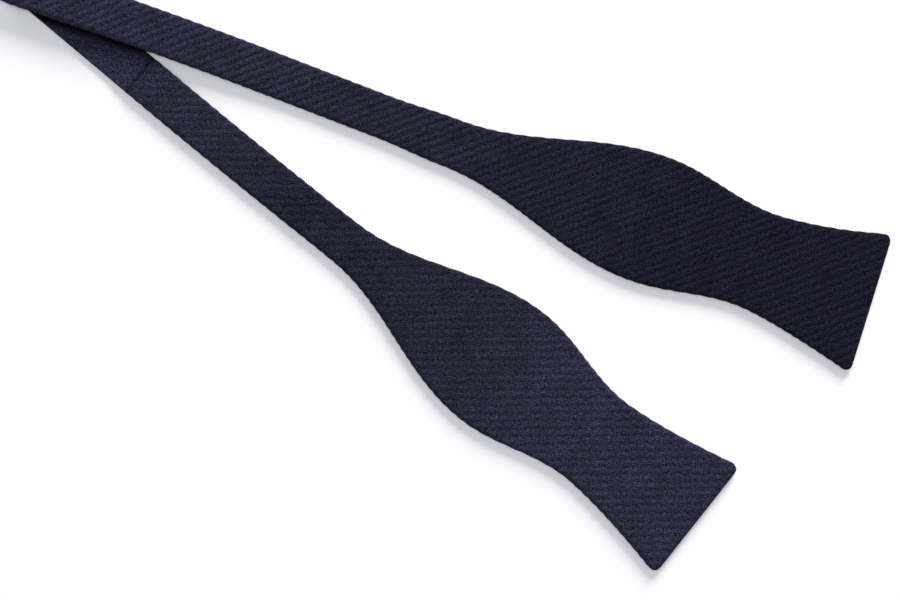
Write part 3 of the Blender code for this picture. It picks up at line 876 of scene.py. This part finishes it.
def bartack(name, station, surface, length, node, body):
    """A dense bar of short stitches side by side, with a binding row along each edge."""
    count = round(length / BARTACK_PITCH)
    along = station.out.cross(station.across)
    rows = []
    for i in range(count + 1):
        a = -length / 2 + length * i / count
        centre = station.place(a, surface)
        slant = station.across * 0.1 * MM * (-1) ** i
        reach = along * BARTACK_HALF_WIDTH + slant
        rows.append((centre - reach, centre + reach, station.out))
    for edge in (-0.75 * MM, 0.75 * MM):
        for i in range(6):
            a = -length / 2 + length * i / 6
            first = station.place(a, surface + 0.15 * MM) + along * edge
            second = station.place(a + length / 6 - 0.3 * MM, surface + 0.15 * MM) + along * edge
            rows.append((first, second, station.out))
    stitched(name, rows, BARTACK_THREAD, node, body)


def sewing():
    """Seam rows where the strap and the neckband join, and the bartacks that hold the folds."""
    seam = short_station(STRAP_SEAM - 1.2 * MM)
    seam_row("strap_seam_stitches", seam, "strap_seam_thread", "short_end")
    seam = long_station(LONG_ARM.length + NECKBAND_SEAM)
    seam_row("neckband_seam_stitches", seam, "neckband_seam_thread", "long_end")
    fold_end = LONG_ARM.length + STRAIGHT_RUN + BEND_LENGTH + RUN_TO_EYE + math.pi * EYE_BEND
    tack = long_station(fold_end + FOLD_BACK * 0.6)
    top = TIE_THICKNESS / 2
    bartack("neckband_bartack_stitches", tack, top, 13 * MM, "neckband_bartack", "long_end")
    tack = strap_station(SHORT_ARM.length + HOOK_AT + STRAP_TURN + 2 * SHIFT_ARC - 3.4 * MM)
    face = Station(tack.centre, SHORT_HEADING, ON_EDGE, tack.half_width)
    top = STRAP_THICKNESS / 2
    bartack("strap_bartack_stitches", face, top, 12 * MM, "strap_bartack", "slide")


def hardware():
    """The CAD model's hook, eye and slide keep their shapes and get a plated finish."""
    for name in ("hook", "eye", "slide_adjuster"):
        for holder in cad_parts[name].material_slots:
            holder.material = NICKEL


def studio():
    """A white table top, a soft key light from the upper right and an even white surround."""
    bpy.ops.mesh.primitive_plane_add(size=8, location=(0, 0, -0.2 * MM))
    floor = bpy.context.object
    floor.name = "floor"
    top = Shader("white_table")
    grain = top.noise(top.node("TexCoord").outputs["Object"], 3.0, 2.0)
    top.feed(top.surface.inputs["Roughness"], top.remap(grain, 0.2, 0.8, 0.9, 1.0))
    top.set(Base_Color=(0.93, 0.93, 0.935, 1), Specular_IOR_Level=0.0)
    floor.data.materials.append(top.material)
    world = bpy.data.worlds.new("studio")
    world.use_nodes = True
    world.node_tree.nodes["Background"].inputs["Color"].default_value = (0.90, 0.897, 1.0, 1)
    world.node_tree.nodes["Background"].inputs["Strength"].default_value = 0.36
    bpy.context.scene.world = world
    aim = Vector((0.03, -0.02, 0))
    lamp("key", aim, Vector((0.95, 2.7, 1.05)), 1.5, 142, (1.0, 0.985, 0.93))
    lamp("overhead", aim, Vector((0, 0, 3)), 1.2, 33.5, (0.95, 0.955, 1.0))


def lamp(name, aim, offset, size, energy, colour):
    """A round softbox that points at aim."""
    light = bpy.data.lights.new(name, "AREA")
    light.shape = "DISK"
    light.size = size
    light.energy = energy
    light.color = colour
    holder = bpy.data.objects.new(name, light)
    holder.location = aim + offset
    holder.rotation_euler = (-offset).to_track_quat("-Z", "Y").to_euler()
    bpy.context.scene.collection.objects.link(holder)


def camera():
    """Straight down from above, like a product picture on a table top."""
    data = bpy.data.cameras.new("camera")
    data.lens = 120
    data.sensor_width = 36
    data.clip_start = 0.01
    eye = bpy.data.objects.new("camera", data)
    eye.location = (0.0488, -0.0434, 1.2765)
    bpy.context.scene.collection.objects.link(eye)
    bpy.context.scene.camera = eye


camera()
studio()
long_end()
short_end()
neckband()
strap()
sewing()
hardware()
bpy.context.scene.view_settings.view_transform = "Standard"
